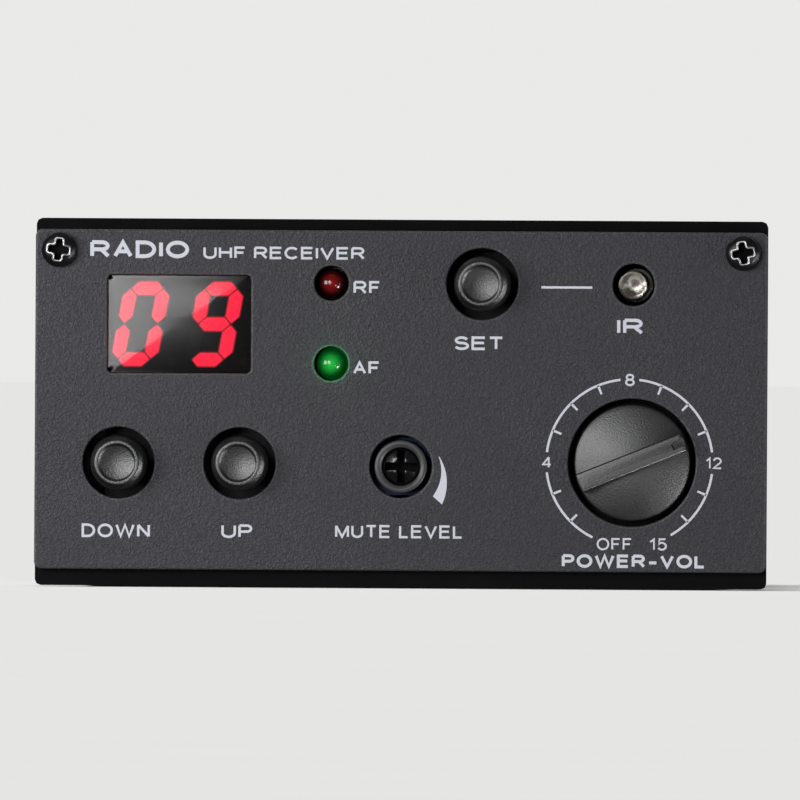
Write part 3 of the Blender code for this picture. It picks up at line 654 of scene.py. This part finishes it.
def display():
    """The two digits with the light that spills round them, the module behind, and the window in front."""
    x, z = spot("display_window")
    lit, dark, halo = bmesh.new(), bmesh.new(), bmesh.new()
    reach_x, reach_z, width, gap, spill, overlap = 2.8, 6.05, 2.2, 0.2, 0.5, -0.1
    offsets, shift, front, behind = (-6.3, 6.3), 0.45, 2.9, 3.06
    for digit, offset in zip("09", offsets):
        at = (x - shift + offset, z)
        for name, ends in SEGMENTS.items():
            start, end = ((u * reach_x, v * reach_z) for u, v in ends)
            if name in DIGITS[digit]:
                segment(lit, start, end, width, gap, at, front)
                segment(halo, start, end, width + spill, overlap, at, behind)
            else:
                segment(dark, start, end, width, gap, at, front)
    point = [(0.0, 2.95), (0.8, 2.95), (0.8, 3.25)]
    for offset in offsets:
        lathe(dark, point, (x + offset + 4.9, z - 6.4), 24)
    spill_look = glow("segment_spill", (0.4, 0.0, 0.012), 0.5, (0.3, 0.0, 0.008))
    red = glow("lit_segment", (1.0, 0.008, 0.045), 2.6, (0.8, 0.004, 0.03))
    pale = finish("unlit_segment", (0.02, 0.006, 0.007), 0.7, size=0.4, Specular_IOR_Level=0.1)
    piece("display_glow", as_mesh(halo), spill_look, "chassis")
    piece("display_lit_segments", as_mesh(lit), red, "chassis")
    piece("display_dark_segments", as_mesh(dark), pale, "chassis")
    bm = bmesh.new()
    half_x, half_z, face, back, pin_row = 12.5, 9.5, 3.1, 11.1, 7.6
    pin = [(0.0, 11.0), (0.3, 11.0), (0.3, 11.35)]
    for row in (-1, 1):
        for i in range(9):
            lathe(bm, pin, (x - 4 * PITCH + i * PITCH, z + row * pin_row), 12)
    block(bm, (x - half_x, x + half_x), (face, back), (z - half_z, z + half_z), 0.25)
    look = finish("display_face", (0.003, 0.002, 0.0022), 0.8, size=0.4, tone=0.2, depth=0.006,
                  Specular_IOR_Level=0.03)
    piece("display_module_fine", as_mesh(bm), look, "chassis", ("display_module",))
    window(x, z)


def smoked_acrylic(name, coat):
    return see_through(name, 0.8, (0.42, 0.36, 0.38), (0.5, 0.44, 0.46), 6.0, 0.05, 0.09, IOR=1.12,
                       Coat_Weight=coat, Coat_Roughness=0.19, Specular_IOR_Level=0.0)


def window(x, z):
    """The smoked window: a slightly bowed pane with a rounded rim, and a flange behind the plate."""
    looks = [smoked_acrylic("smoked_acrylic_face", 1.0), smoked_acrylic("smoked_acrylic_back", 0.0)]
    width, height, corner, rim, flange = 24.5, 16.6, 0.7, 0.16, 1.8
    front, side, step, back = 0.35, 1.15, 2.3, 2.8
    bow_x, bow_z, half_x, half_z, steps = 0.5, 0.4, 12.0, 8.0, 14

    def bowed(u, v):
        return front + bow_x * (((u - x) / half_x) ** 2 + bow_z * ((v - z) / half_z) ** 2)

    bm = bmesh.new()
    edge = rounded(width - rim, height - rim, corner, (x, z))
    rings = []
    for share in [i / steps for i in range(steps, 0, -1)]:
        rings.append(ring(bm, [(x + (u - x) * share, z + (v - z) * share) for u, v in edge], bowed))
    centre = bm.verts.new((x, front, z))
    for i in range(len(rings[-1])):
        bm.faces.new((rings[-1][i - 1], rings[-1][i], centre))
    rings = rings[::-1]
    rings += [ring(bm, rounded(width, height, corner, (x, z)), y) for y in (side, step)]
    rings += [ring(bm, rounded(width + flange, height + flange, 0.8, (x, z)), y) for y in (step, back)]
    skin(bm, rings)
    bm.faces.new(rings[-1])
    pane = piece("display_window_pane", as_mesh(bm), looks, "chassis",
                 ("display_window",), 40.0)
    uncoated_from = 1.2
    for face in pane.data.polygons:
        face.material_index = int((face.center - MIDDLE).y > uncoated_from * MM)


# Lamps


def lens(name, look, at, lean=(0.0, 0.0)):
    """A round-nosed lamp with its flange and legs. lean is how far its nose sits off the axis."""
    tip, neck, flange, back, leg = 0.2, 7.8, 2.9, 8.8, 0.25
    turns = [math.pi / 2 * i / 20 for i in range(21)]
    dome = [(LAMP_RADIUS * math.sin(a), tip + LAMP_RADIUS * (1 - math.cos(a))) for a in turns]
    bm = bmesh.new()
    lathe(bm, dome + [(LAMP_RADIUS, neck), (flange, neck, 0.1), (flange, back, 0.1), (0.0, back)], at)
    for vert in bm.verts:
        share = (back - vert.co.y) / back
        vert.co += Vector((lean[0] * share, 0.0, lean[1] * share))
    for x in (at[0] - PITCH / 2, at[0] + PITCH / 2):
        block(bm, (x - leg, x + leg), (back, BEHIND_PLATE), (at[1] - leg, at[1] + leg))
    piece(name + "_lens", as_mesh(bm), look, "chassis", (name,), 40.0)


def lamps():
    """The red and green lamps, the clear one with the cup and chip inside it, and their spacers."""
    rf, af, ir = (spot(name) for name in ("rf_led", "af_led", "ir_led"))
    lens("rf_led", lit_lens("red_epoxy", rf, (0.13, 0.004, 0.005), (0.004, 0.0, 0.0), 0.4), rf)
    lens("af_led", lit_lens("green_epoxy", af, (0.012, 0.30, 0.035), (0.0, 0.055, 0.006), 0.5), af)
    epoxy = see_through("clear_epoxy", 0.7, (0.93, 0.9, 0.85), (0.98, 0.96, 0.93), 3.0, 0.24, 0.32, IOR=1.5)
    lens("ir_led", epoxy, ir, (-0.35, -0.3))
    x, z = ir
    cup_x, cup_back, post_back, half = x - 0.2, 5.0, 8.0, 0.3
    bm = bmesh.new()
    cup = [(0.0, 4.4), (0.55, 4.4), (1.25, 3.4), (1.45, 3.4), (1.45, cup_back), (0.0, cup_back)]
    lathe(bm, cup, (cup_x, z), 32)
    block(bm, (x - 0.95, x + 0.4), (cup_back, post_back), (z - half, z + half), 0.1)
    block(bm, (x + 0.75, x + 1.35), (3.3, post_back), (z - half, z + half), 0.1)
    piece("ir_led_cup", as_mesh(bm), LOOKS["nickel"], "chassis")
    bm = bmesh.new()
    block(bm, (cup_x - half, cup_x + half), (4.1, 4.4), (z - half, z + half), 0.05)
    chip = finish("ir_chip", (0.10, 0.04, 0.03), 0.3, size=0.2)
    piece("ir_led_chip", as_mesh(bm), chip, "chassis")
    bore, outer, near = 2.0, 2.9, 9.1
    spacer = [(bore, near), (outer, near, 0.15), (outer, BEHIND_PLATE, 0.15), (bore, BEHIND_PLATE)]
    for name in ("rf_led", "af_led", "ir_led"):
        turned_piece(name + "_spacer_fine", spacer, LOOKS["black_plastic"], "chassis",
                     (name + "_spacer",), spot(name), 48, closed=True)


# Buttons, mute control and volume knob


def buttons():
    """The three caps, each with a dished face, and the plungers that they push."""
    look = finish("button_moulding", (0.002, 0.002, 0.0023), 0.36, size=0.28, tone=0.5, uneven=0.04, depth=0.05,
                  IOR=1.6, Specular_IOR_Level=0.8)
    dish_radius, dish_y, dish_rise = 3.0, -3.4, 0.36
    dish = [(r, dish_y - dish_rise * (r / dish_radius) ** 2) for r in [dish_radius * i / 12 for i in range(13)]]
    cap = dish + [(3.2, -4.0, 0.5), (3.75, -4.0, 0.45), (4.5, -3.3, 0.7), (4.8, -0.6, 0.6), (4.8, 3.2, 0.2),
                  (3.0, 3.2), (3.0, 9.5), (2.0, 9.5), (2.0, 6.0)]
    plunger = [(0.0, 6.4), (1.7, 6.4, 0.2), (1.7, 12.4, 0.2), (0.0, 12.4)]
    for name in ("set", "down", "up"):
        at = spot(name + "_button_cap")
        turned_piece(name + "_button_cap_fine", cap, look, name + "_button",
                     (name + "_button_cap",), at, 96, smooth=50.0)
        turned_piece(name + "_plunger_fine", plunger, LOOKS["ivory_plastic"], name + "_button",
                     (name + "_switch_plunger",), at, 32)


def paint_recess_shade(obj, at, reach, near, far):
    """Gives the faces within reach of an axis and between two depths the piece's second look, a dead-black matte
    that paints shade into the recess.
    """
    for face in obj.data.polygons:
        middle = (face.center - MIDDLE) / MM
        away = math.hypot(middle.x - at[0], middle.z - at[1])
        face.material_index = int(away < reach and near < middle.y < far)


def mute_control():
    """The grey sleeve and, inside it, the glossy rotor with a cross for a screwdriver."""
    at = spot("mute_rotor")
    sleeve = [(3.6, 2.0), (3.6, 1.35), (3.25, 1.3, 0.1), (3.3, 0.75, 0.4), (3.9, 0.5, 0.6), (4.5, 0.62, 0.4),
              (4.5, 9.4, 0.2), (3.6, 9.4)]
    turned_piece("mute_sleeve_fine", sleeve, LOOKS["grey_collar"], "chassis", ("mute_sleeve",), at,
                 96, closed=True, smooth=50.0)
    profile = [(0.0, 1.5), (1.6, 1.6, 1.0), (2.9, 1.95, 0.6), (3.3, 2.4, 0.3), (3.3, 9.1, 0.2), (1.5, 9.1, 0.1),
               (1.5, 11.3, 0.1), (0.0, 11.3)]
    rotor = turned_piece("mute_rotor_fine", profile, [LOOKS["gloss_black"], LOOKS["black_steel"]], "mute",
                         ("mute_rotor",), at, 96)
    carve(rotor, cross_cutter(at, arm=2.8, width=1.35, near=0.5, far=4.5, turn=0.0, taper=1.0, soft=0.1), 0.04)
    # The deeper walls and floor of the cross take the dead-black matte: painted shade in the recess.
    paint_recess_shade(rotor, at, reach=3.0, near=2.6, far=6.0)


def cross(at, arm, width, turn, soft, scale=1.0):
    """The outline of a cross whose corners are rounded to soft."""
    half = width / 2
    corners = [(arm, -half), (arm, half), (half, half), (half, arm), (-half, arm), (-half, half),
               (-arm, half), (-arm, -half), (-half, -half), (-half, -arm), (half, -arm), (half, -half)]
    return turned(soft_corners([(*corner, soft) for corner in corners]), turn, at, scale)


def cross_cutter(at, arm, width, near, far, turn, taper, soft):
    """A cross that narrows to taper times its size at its far end."""
    bm = bmesh.new()
    solid(bm, [ring(bm, cross(at, arm, width, turn, soft, scale), y) for y, scale in ((near, 1.0), (far, taper))])
    return bm


def volume_knob():
    """The knob's domed disc, its grip bar with the pointer's notch in one end, and the shaft."""
    at = spot("volume_shaft")
    look = finish("knob_moulding", (0.004, 0.004, 0.0045), 0.43, size=0.28, tone=0.5, uneven=0.04, depth=0.055,
                  IOR=1.7, Specular_IOR_Level=0.75)
    radius, face, rim, crown, back = 10.05, 9.4, 1.15, 1.75, 4.9
    dome = [(r, rim - crown * (1 - (r / radius) ** 2)) for r in [face * i / 24 for i in range(25)]]
    profile = dome + [(9.85, rim - 0.02, 0.4), (radius, rim + 0.5, 0.3), (radius, back, 0.2), (8.7, back, 0.2),
                      (8.7, 2.7), (5.0, 2.7), (5.0, back), (3.15, back), (3.15, 2.35), (0.0, 2.35)]
    turned_piece("volume_knob_disc", profile, look, "volume", ("volume_knob",), at, 128,
                 smooth=30.0)
    half, reach = 1.65, 9.72
    side = math.asin(half / reach)
    end = [(reach * math.cos(a), reach * math.sin(a)) for a in [side * (i / 6 - 1) for i in range(13)]]
    outline = end + [(-u, -v) for u, v in end]
    bm = bmesh.new()
    rings = []
    for inset, y in fillet([(0.0, 1.4), (0.0, -2.2, 0.55), (1.4, -2.28)], 7):
        loop = [(u * (1 - inset / reach), v * (1 - inset / half)) for u, v in outline]
        rings.append(ring(bm, turned(loop, POINTER, at), y))
    solid(bm, rings)
    bar = piece("volume_knob_bar", as_mesh(bm), look, "volume")
    notch = [(7.5, -0.75), (11.0, -0.75), (11.0, 0.75), (7.5, 0.75)]
    cutter = bmesh.new()
    extrude(cutter, turned(notch, POINTER, at), -3.2, -1.4)
    carve(bar, cutter, 0.1)
    shaft = [(0.0, 2.6), (2.65, 2.6, 0.1), (2.95, 2.95, 0.1), (2.95, 9.7, 0.1), (0.0, 9.7)]
    turned_piece("volume_shaft_fine", shaft, LOOKS["nickel"], "volume", ("volume_shaft",), at, 48)


# Screws


def panel_screws():
    """Two black screws whose cross recess is worn bright along its edge."""
    arm, width, soft, worn, proud, crown, domed = 1.95, 1.5, 0.45, 0.16, 0.02, -2.2, 0.075
    dome = [(r, crown + domed * r * r) for r in [2.3 * i / 10 for i in range(11)]]
    profile = dome + [(2.95, -1.1, 0.6), (3.05, -0.1, 0.1), (1.45, -0.1), (1.45, 10.9, 0.3), (0.0, 10.9)]
    # How much wider than the cross each ring of the worn edge is, and how far it lies below the dome
    worn_rings = ((-worn, 0.4), (-worn, 0.12), (-worn / 3, 0.0), (worn / 2, -0.03), (worn, 0.05), (worn, 0.2))
    for side, turn in (("left", math.radians(-7.0)), ("right", math.radians(9.0))):
        node = "panel_screw_" + side
        at = spot(node)
        head = turned_piece(node + "_fine", profile, [LOOKS["screw_black"], LOOKS["black_steel"]], "chassis",
                            (node,), at)
        carve(head, cross_cutter(at, arm, width, near=-3.0, far=-0.3, turn=turn, taper=0.8, soft=soft), 0.05)
        # The deeper walls and floor of the cross recess take the dead-black matte: painted shade.
        paint_recess_shade(head, at, reach=2.3, near=-1.7, far=-0.2)

        def domed_at(u, v):
            return crown - proud + domed * ((u - at[0]) ** 2 + (v - at[1]) ** 2) + drop

        bm = bmesh.new()
        rings = []
        for grow, drop in worn_rings:
            rings.append(ring(bm, cross(at, arm + grow, width + 2 * grow, turn, soft), domed_at))
        skin(bm, rings, True)
        piece(node + "_worn_edge", as_mesh(bm), WORN, "chassis", (), 60.0)


# Casing, boards and back


def casing():
    refine("chassis_tray", 0.25, 3)
    refine("top_cover", 0.2, 2)


def extent(node):
    """The low and high corners of a CAD node, in millimetres from the middle of the front plate."""
    low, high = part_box(node)
    return (low - MIDDLE) / MM, (high - MIDDLE) / MM


def antenna():
    """The threaded antenna socket with its insulator, and the nut that holds it."""
    at = spot("antenna_socket")
    near, far = (corner.y for corner in extent("antenna_socket"))
    flange, crest, root, pitch = 4.4, 3.15, 2.9, 0.7
    profile = [(0.0, near), (flange, near, 0.2), (flange, near + 2.5, 0.2), (crest, near + 2.5)]
    depth = near + 4.6
    while depth + pitch < far - 0.5:
        profile += [(crest, depth), (root, depth + pitch / 2)]
        depth += pitch
    profile += [(crest, depth), (crest, far - 0.35, 0.1), (root, far, 0.1), (2.3, far, 0.1), (2.3, far - 0.8),
                (0.0, far - 0.8)]
    turned_piece("antenna_socket_fine", profile, LOOKS["gold"], "chassis", ("antenna_socket",), at,
                 smooth=30.0)
    bore, outer, back, front = 0.75, 2.2, far - 0.75, far - 0.3
    insulator = [(bore, back, 0.05), (outer, back, 0.1), (outer, front, 0.1), (bore, front, 0.05), (bore, back)]
    turned_piece("antenna_socket_insulator", insulator, LOOKS["ivory_plastic"], "chassis", (), at, 48)
    near, far = (corner.y for corner in extent("antenna_nut"))
    across, sides = 4.9, 48
    flat = across * math.cos(math.pi / 6)
    bm = bmesh.new()
    rings = []
    for radius, y in ((4.55, near), (across, near + 0.25), (across, far - 0.25), (4.55, far), (3.6, far),
                      (3.35, far - 0.3), (3.35, near)):
        outline = []
        for angle in [2 * math.pi * i / sides for i in range(sides)]:
            turn = (angle + math.pi / 6) % (math.pi / 3) - math.pi / 6
            r = min(radius, flat / math.cos(turn))
            outline.append((at[0] + r * math.cos(angle), at[1] + r * math.sin(angle)))
        rings.append(ring(bm, outline, y))
    skin(bm, rings, True)
    piece("antenna_nut_fine", as_mesh(bm), LOOKS["nickel"], "chassis", ("antenna_nut",), 25.0)


def header():
    """The output header: a shrouded body with a key along its foot, and eight pins with their tails."""
    low, high = extent("output_header")
    bm = bmesh.new()
    block(bm, (low.x, high.x), (99.0, 105.0), (low.z, high.z), 0.15)
    block(bm, (low.x + 3, high.x - 3), (104.5, 111.0), (low.z + 0.05, low.z + 1.2), 0.12)
    piece("output_header_body", as_mesh(bm), LOOKS["white_nylon"], "chassis",
          ("output_header",))
    bm = bmesh.new()
    count, half, z = 8, 0.32, high.z - 2.2
    for i in range(count):
        x = (low.x + high.x) / 2 + (i - (count - 1) / 2) * PITCH
        block(bm, (x - half, x + half), (104.0, 113.0), (z - half, z + half), 0.14)
        block(bm, (x - half, x + half), (101.5, 102.1), (low.z - 3.0, low.z + 0.5), 0.05)
    piece("output_header_pins", as_mesh(bm), LOOKS["gold"], "chassis")


def insides():
    """Refines the nodes that no other function replaces. The boards and the lead only get their looks."""
    kept_plain = ("control_board", "main_board", "antenna_lead")
    replaced = {"front_plate", "chassis_tray", "top_cover", "display_window", "display_module", "antenna_socket",
                "antenna_nut", "output_header", "mute_sleeve", "mute_rotor", "volume_knob", "volume_shaft",
                "panel_screw_left", "panel_screw_right"}
    for node in NODES:
        if node not in replaced.union(kept_plain) and not node.endswith(("_cap", "_plunger", "_led", "_spacer")):
            refine(node, 0.1, 2)
    for node in kept_plain:
        materials = NODES[node].data.materials
        materials.clear()
        materials.append(LOOKS[SLOT_OF[node]])


# Floor, light and camera


def linked(name, pieces, state):
    """A light linking group whose pieces are lit or left out."""
    made = bpy.data.collections.new(name)
    for piece_name in pieces:
        made.objects.link(bpy.data.objects[piece_name])
    for entry in made.collection_objects:
        entry.light_linking.link_state = state
    return made


def stage():
    """The pale floor with a sun of its own, and a backdrop that only the camera sees."""
    size, drop = 30.0, 0.0002
    bm = bmesh.new()
    bm.faces.new([bm.verts.new((a * size, b * size, -drop)) for a, b in ((-1, -1), (1, -1), (1, 1), (-1, 1))])
    floor = placed("floor", to_mesh(bm))
    floor.data.materials.append(finish("pale_floor", (0.78, 0.78, 0.77), 0.8, size=40.0, tone=0.015, depth=0.0,
                                       Specular_IOR_Level=0.0))
    floor.visible_diffuse = floor.visible_glossy = floor.visible_shadow = False
    sun = bpy.data.lights.new("floor_sun", "SUN")
    sun.energy, sun.angle = 3.1, math.radians(40.0)
    lamp = placed("floor_sun", sun)
    lamp.rotation_euler = (math.radians(8.0), math.radians(-10.0), 0.0)
    lamp.light_linking.receiver_collection = linked("only_floor", ["floor"], "INCLUDE")

    world = bpy.data.worlds.new("studio")
    bpy.context.scene.world = world
    world.use_nodes = True
    tree = world.node_tree
    backdrop = tree.nodes["Background"]
    backdrop.inputs["Color"].default_value = (0.82, 0.82, 0.81, 1.0)
    fill = tree.nodes.new("ShaderNodeBackground")
    fill.inputs["Color"].default_value = (0.9, 0.95, 1.0, 1.0)
    fill.inputs["Strength"].default_value = 0.045
    path = tree.nodes.new("ShaderNodeLightPath")
    blend = tree.nodes.new("ShaderNodeMixShader")
    tree.links.new(path.outputs["Is Camera Ray"], blend.inputs["Fac"])
    tree.links.new(fill.outputs[0], blend.inputs[1])
    tree.links.new(backdrop.outputs[0], blend.inputs[2])
    tree.links.new(blend.outputs[0], tree.nodes["World Output"].inputs["Surface"])


def direction(azimuth, elevation):
    """From the plate towards a light or the camera. Azimuth counts from the front to the right."""
    return Vector((math.sin(azimuth) * math.cos(elevation), -math.cos(azimuth) * math.cos(elevation),
                   math.sin(elevation)))


def soft_light(receivers, name, azimuth, elevation, distance, width, height, power, roll=0.0):
    """A soft box that looks at the middle of the plate and lights only the receivers."""
    away = direction(math.radians(azimuth), math.radians(elevation))
    lamp = bpy.data.lights.new(name, "AREA")
    lamp.shape, lamp.size, lamp.size_y = "RECTANGLE", width, height
    lamp.energy = power
    obj = placed(name, lamp)
    obj.location = MIDDLE + away * distance
    turn = away.to_track_quat("Z", "Y").to_matrix() @ Matrix.Rotation(math.radians(roll), 3, "Z")
    obj.rotation_euler = turn.to_euler()
    obj.visible_camera = False
    obj.light_linking.receiver_collection = receivers


def lights():
    """The soft boxes round the unit, and a point light that lets the green lamp shine on the plate."""
    unit = linked("all_but_floor", ["floor"], "EXCLUDE")
    front = linked("front_only", ["floor", "top_cover_fine"], "EXCLUDE")
    raised = linked("raised_parts", ["floor", "front_plate_coated"], "EXCLUDE")
    bar = linked("only_bar", ["volume_knob_bar"], "INCLUDE")
    cover = linked("only_cover", ["top_cover_fine"], "INCLUDE")
    plate = linked("only_plate", ["front_plate_coated"], "INCLUDE")
    soft_light(unit, "card_left", -17.9, 7.3, 1.1, 0.46, 0.46, 4.0, 48.0)
    soft_light(front, "near_left", -51.0, 8.0, 0.34, 0.14, 0.14, 0.56)
    soft_light(unit, "key_left", -22.0, 15.0, 0.75, 0.1, 0.1, 0.5)
    soft_light(unit, "key_right", 33.0, -17.0, 0.8, 0.08, 0.08, 0.45)
    soft_light(raised, "low_right", 56.0, -26.0, 0.7, 0.16, 0.16, 1.9)
    soft_light(bar, "bar_edge", 46.0, -48.0, 0.35, 0.06, 0.06, 0.45)
    soft_light(front, "broad_right", 78.0, -12.0, 0.6, 0.3, 0.25, 1.15)
    soft_light(cover, "side_right", 72.0, 15.0, 1.2, 0.9, 0.9, 4.0)
    soft_light(unit, "top", 0.0, 80.0, 1.6, 1.2, 1.2, 1.1)
    soft_light(unit, "back_left", -140.0, 35.0, 1.3, 1.2, 1.2, 5.0)
    soft_light(unit, "back_right", 150.0, 30.0, 1.3, 1.2, 1.2, 6.0)
    lamp = bpy.data.lights.new("green_halo", "POINT")
    lamp.energy, lamp.color, lamp.shadow_soft_size = 0.0006, (0.1, 1.0, 0.3), 1.2 * MM
    obj = placed("green_halo", lamp)
    x, z = spot("af_led")
    obj.location = MIDDLE + Vector((x, -0.7, z)) * MM
    obj.visible_camera = False
    obj.light_linking.receiver_collection = plate


def camera():
    """A long lens far away, framed on the plate as the photo is."""
    azimuth, elevation, roll = (math.radians(v) for v in (3.7, 0.1, 0.34))
    lens_mm, sensor, frame_width = 1200.0, 36.0, 0.1364
    target = MIDDLE + Vector((-0.04, 0.0, 0.15)) * MM
    back = direction(azimuth, elevation)
    data = bpy.data.cameras.new("camera")
    data.lens, data.sensor_width = lens_mm, sensor
    data.clip_start, data.clip_end = 0.1, 100.0
    obj = placed("camera", data)
    obj.location = target + back * frame_width * lens_mm / sensor
    turn = (-back).to_track_quat("-Z", "Y").to_matrix() @ Matrix.Rotation(roll, 3, "Z")
    obj.rotation_euler = turn.to_euler()
    bpy.context.scene.camera = obj


front_plate()
printing()
display()
lamps()
buttons()
mute_control()
volume_knob()
panel_screws()
casing()
antenna()
header()
insides()
stage()
lights()
camera()
bpy.context.scene.view_settings.view_transform = "Standard"
